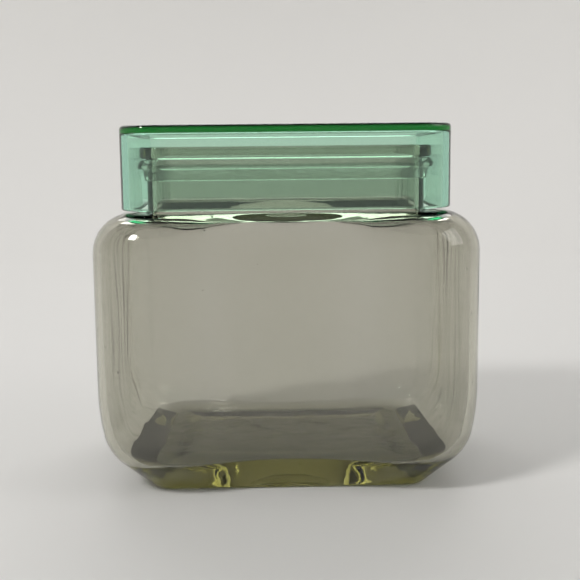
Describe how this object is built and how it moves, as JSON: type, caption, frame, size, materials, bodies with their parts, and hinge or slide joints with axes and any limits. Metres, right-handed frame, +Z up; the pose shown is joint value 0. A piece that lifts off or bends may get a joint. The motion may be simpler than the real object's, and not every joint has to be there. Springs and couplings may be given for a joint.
{
  "type": "glass storage jar with lid",
  "caption": "Wide rectangular clear glass jar with pinched front and back, bevelled heel, soft neck seal and a transparent green push-over lid.",
  "frame": {"origin": "middle of the foot's underside, in the plane that the jar stands on", "axes": "+Z up, +X along the wide side to the right, the front at -Y"},
  "size_m": [0.152, 0.118, 0.144],
  "materials": {
    "glass": "clear moulded soda-lime glass with an olive-grey tint where it is thick",
    "clear_seal": "clear soft plastic, slightly cloudy",
    "green_acrylic": "transparent green acrylic, polished, dark emerald where seen edge-on"
  },
  "bodies": {
    "jar": {"glass_jar": "glass", "neck_seal": "clear_seal"},
    "lid": {"lid": "green_acrylic"}
  },
  "joints": [
    {"name": "lid_lift", "type": "slide", "parent": "jar", "child": "lid", "axis": [0, 0, 1], "range_m": [0, 0.06]}
  ]
}
